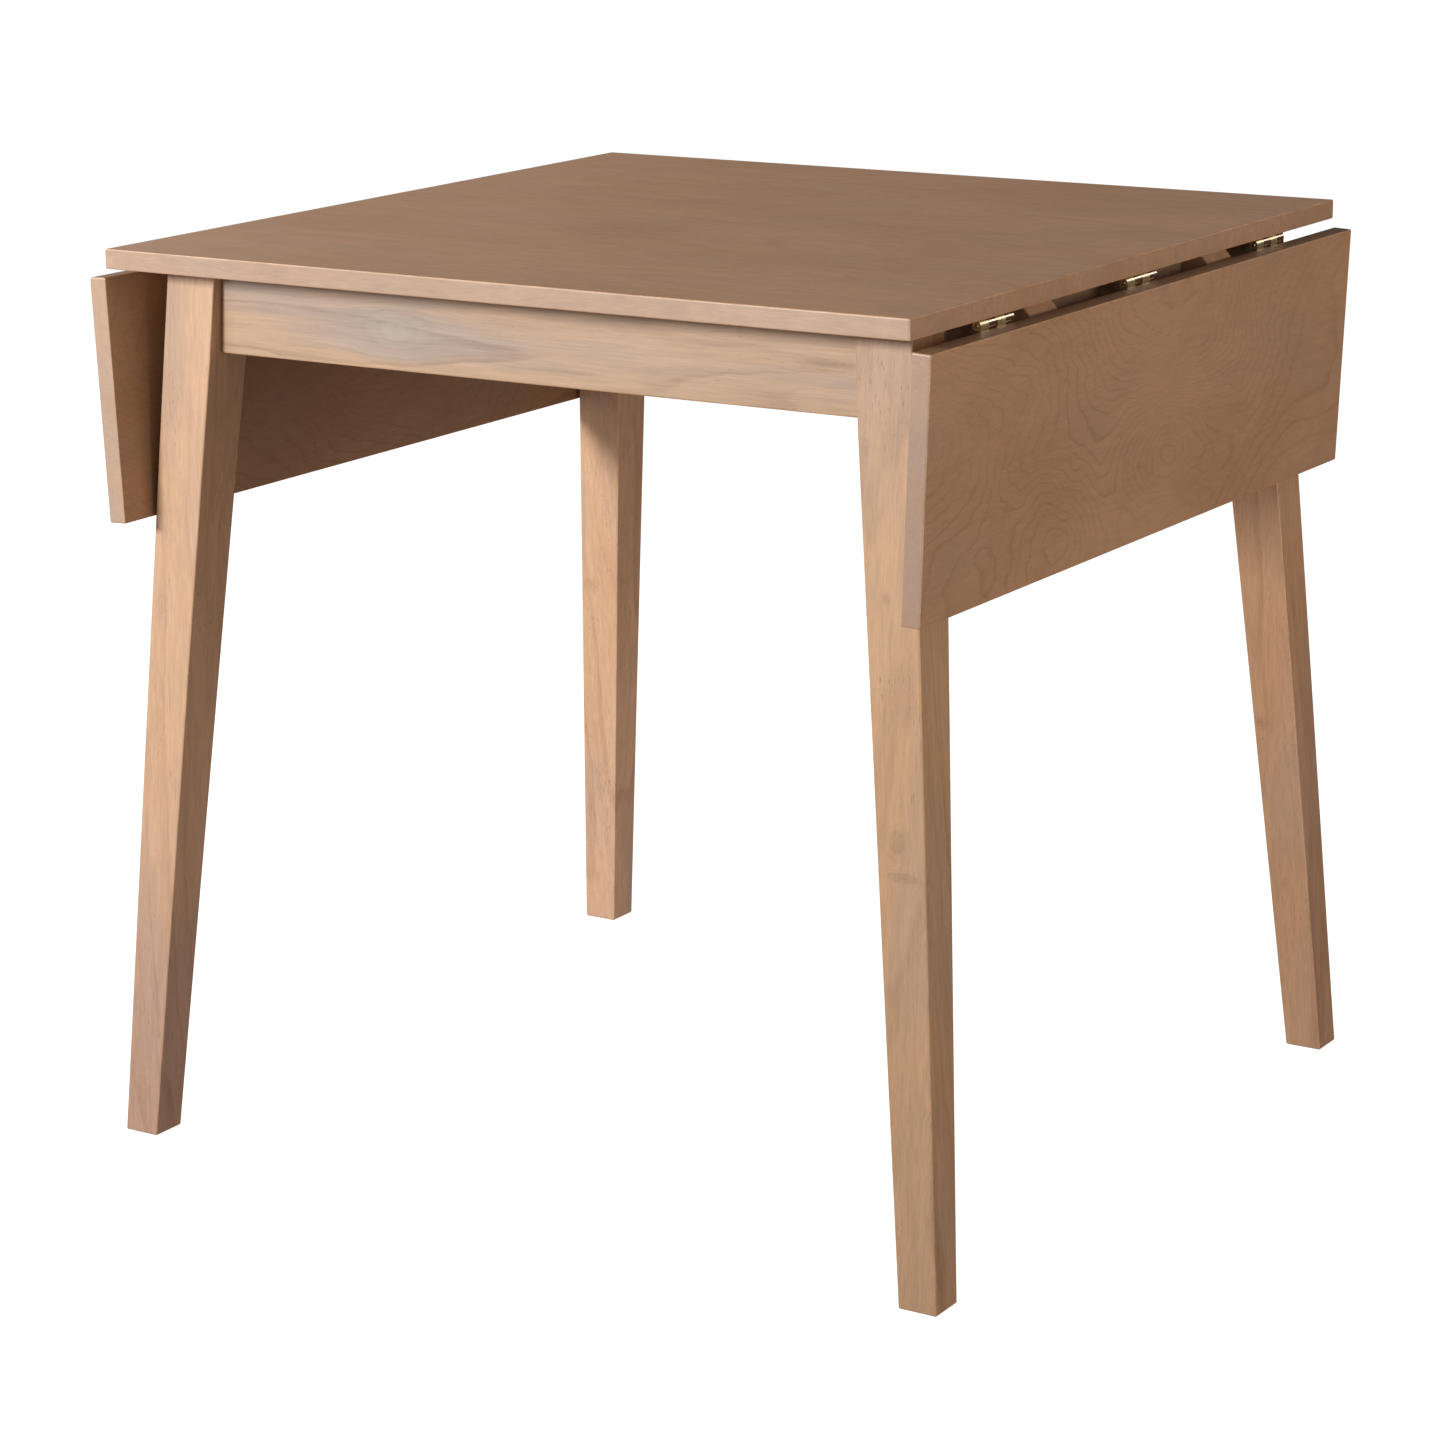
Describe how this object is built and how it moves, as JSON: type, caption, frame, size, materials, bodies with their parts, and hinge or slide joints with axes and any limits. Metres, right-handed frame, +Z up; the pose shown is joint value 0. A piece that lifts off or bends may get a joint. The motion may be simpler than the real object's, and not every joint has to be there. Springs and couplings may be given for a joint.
{
  "type": "drop-leaf table",
  "caption": "Drop-leaf wooden table with splayed tapered legs, an apron frame, hanging side leaves on brass hinges and sliding bars that hold the leaves up.",
  "frame": {"origin": "on the floor, under the middle of the table", "axes": "+Z up; +X towards the right leaf, across the hinges; -Y towards the front apron; both leaves hang at X = +/-0.37 m"},
  "size_m": [0.7858, 0.728, 0.75],
  "materials": {
    "top_board": "satin",
    "leaf_board": "satin",
    "leg_wood": "satin",
    "apron_wood": "satin",
    "bar_wood": "satin",
    "dowel_wood": "matte",
    "hidden_wood": "matte",
    "brass": "polished",
    "brass_screws": "polished",
    "zinc_steel": "satin"
  },
  "bodies": {
    "frame": {"apron_back": "apron_wood", "apron_front": "apron_wood", "apron_left": "apron_wood", "apron_right": "apron_wood", "bracket_screws": "zinc_steel", "centre_batten": "hidden_wood", "corner_block_back_left": "hidden_wood", "corner_block_back_right": "hidden_wood", "corner_block_front_left": "hidden_wood", "corner_block_front_right": "hidden_wood", "corner_block_screws": "zinc_steel", "guide_rail_left": "hidden_wood", "guide_rail_right": "hidden_wood", "hanger_bolts": "zinc_steel", "hanger_nuts": "zinc_steel", "hanger_washers": "zinc_steel", "hinge_pin_left_back": "brass", "hinge_pin_left_front": "brass", "hinge_pin_left_middle": "brass", "hinge_pin_right_back": "brass", "hinge_pin_right_front": "brass", "hinge_pin_right_middle": "brass", "hinge_screws_top": "brass_screws", "hinge_top_plate_left_back": "brass", "hinge_top_plate_left_front": "brass", "hinge_top_plate_left_middle": "brass", "hinge_top_plate_right_back": "brass", "hinge_top_plate_right_front": "brass", "hinge_top_plate_right_middle": "brass", "leg_back_left": "leg_wood", "leg_back_right": "leg_wood", "leg_front_left": "leg_wood", "leg_front_right": "leg_wood", "rail_screws": "zinc_steel", "table_top": "top_board", "top_brackets": "zinc_steel"},
    "leaf_left": {"hinge_leaf_plate_left_back": "brass", "hinge_leaf_plate_left_front": "brass", "hinge_leaf_plate_left_middle": "brass", "hinge_screws_leaf_left": "brass_screws", "leaf_left": "leaf_board"},
    "leaf_right": {"hinge_leaf_plate_right_back": "brass", "hinge_leaf_plate_right_front": "brass", "hinge_leaf_plate_right_middle": "brass", "hinge_screws_leaf_right": "brass_screws", "leaf_right": "leaf_board"},
    "bar_back_left": {"bar_stop_back_left": "dowel_wood", "support_bar_back_left": "bar_wood"},
    "bar_back_right": {"bar_stop_back_right": "dowel_wood", "support_bar_back_right": "bar_wood"},
    "bar_front_left": {"bar_stop_front_left": "dowel_wood", "support_bar_front_left": "bar_wood"},
    "bar_front_right": {"bar_stop_front_right": "dowel_wood", "support_bar_front_right": "bar_wood"}
  },
  "joints": [
    {"name": "leaf_right_hinge", "type": "hinge", "parent": "frame", "child": "leaf_right", "pos_m": [0.3665, 0, 0.7302], "axis": [0, -1, 0], "range_deg": [0, 92.5]},
    {"name": "leaf_left_hinge", "type": "hinge", "parent": "frame", "child": "leaf_left", "pos_m": [-0.3665, 0, 0.7302], "axis": [0, 1, 0], "range_deg": [0, 92.5]},
    {"name": "bar_front_left_slide", "type": "slide", "parent": "frame", "child": "bar_front_left", "axis": [-1, 0, 0], "range_m": [0, 0.004]},
    {"name": "bar_front_right_slide", "type": "slide", "parent": "frame", "child": "bar_front_right", "axis": [1, 0, 0], "range_m": [0, 0.004]},
    {"name": "bar_back_left_slide", "type": "slide", "parent": "frame", "child": "bar_back_left", "axis": [-1, 0, 0], "range_m": [0, 0.004]},
    {"name": "bar_back_right_slide", "type": "slide", "parent": "frame", "child": "bar_back_right", "axis": [1, 0, 0], "range_m": [0, 0.004]}
  ]
}
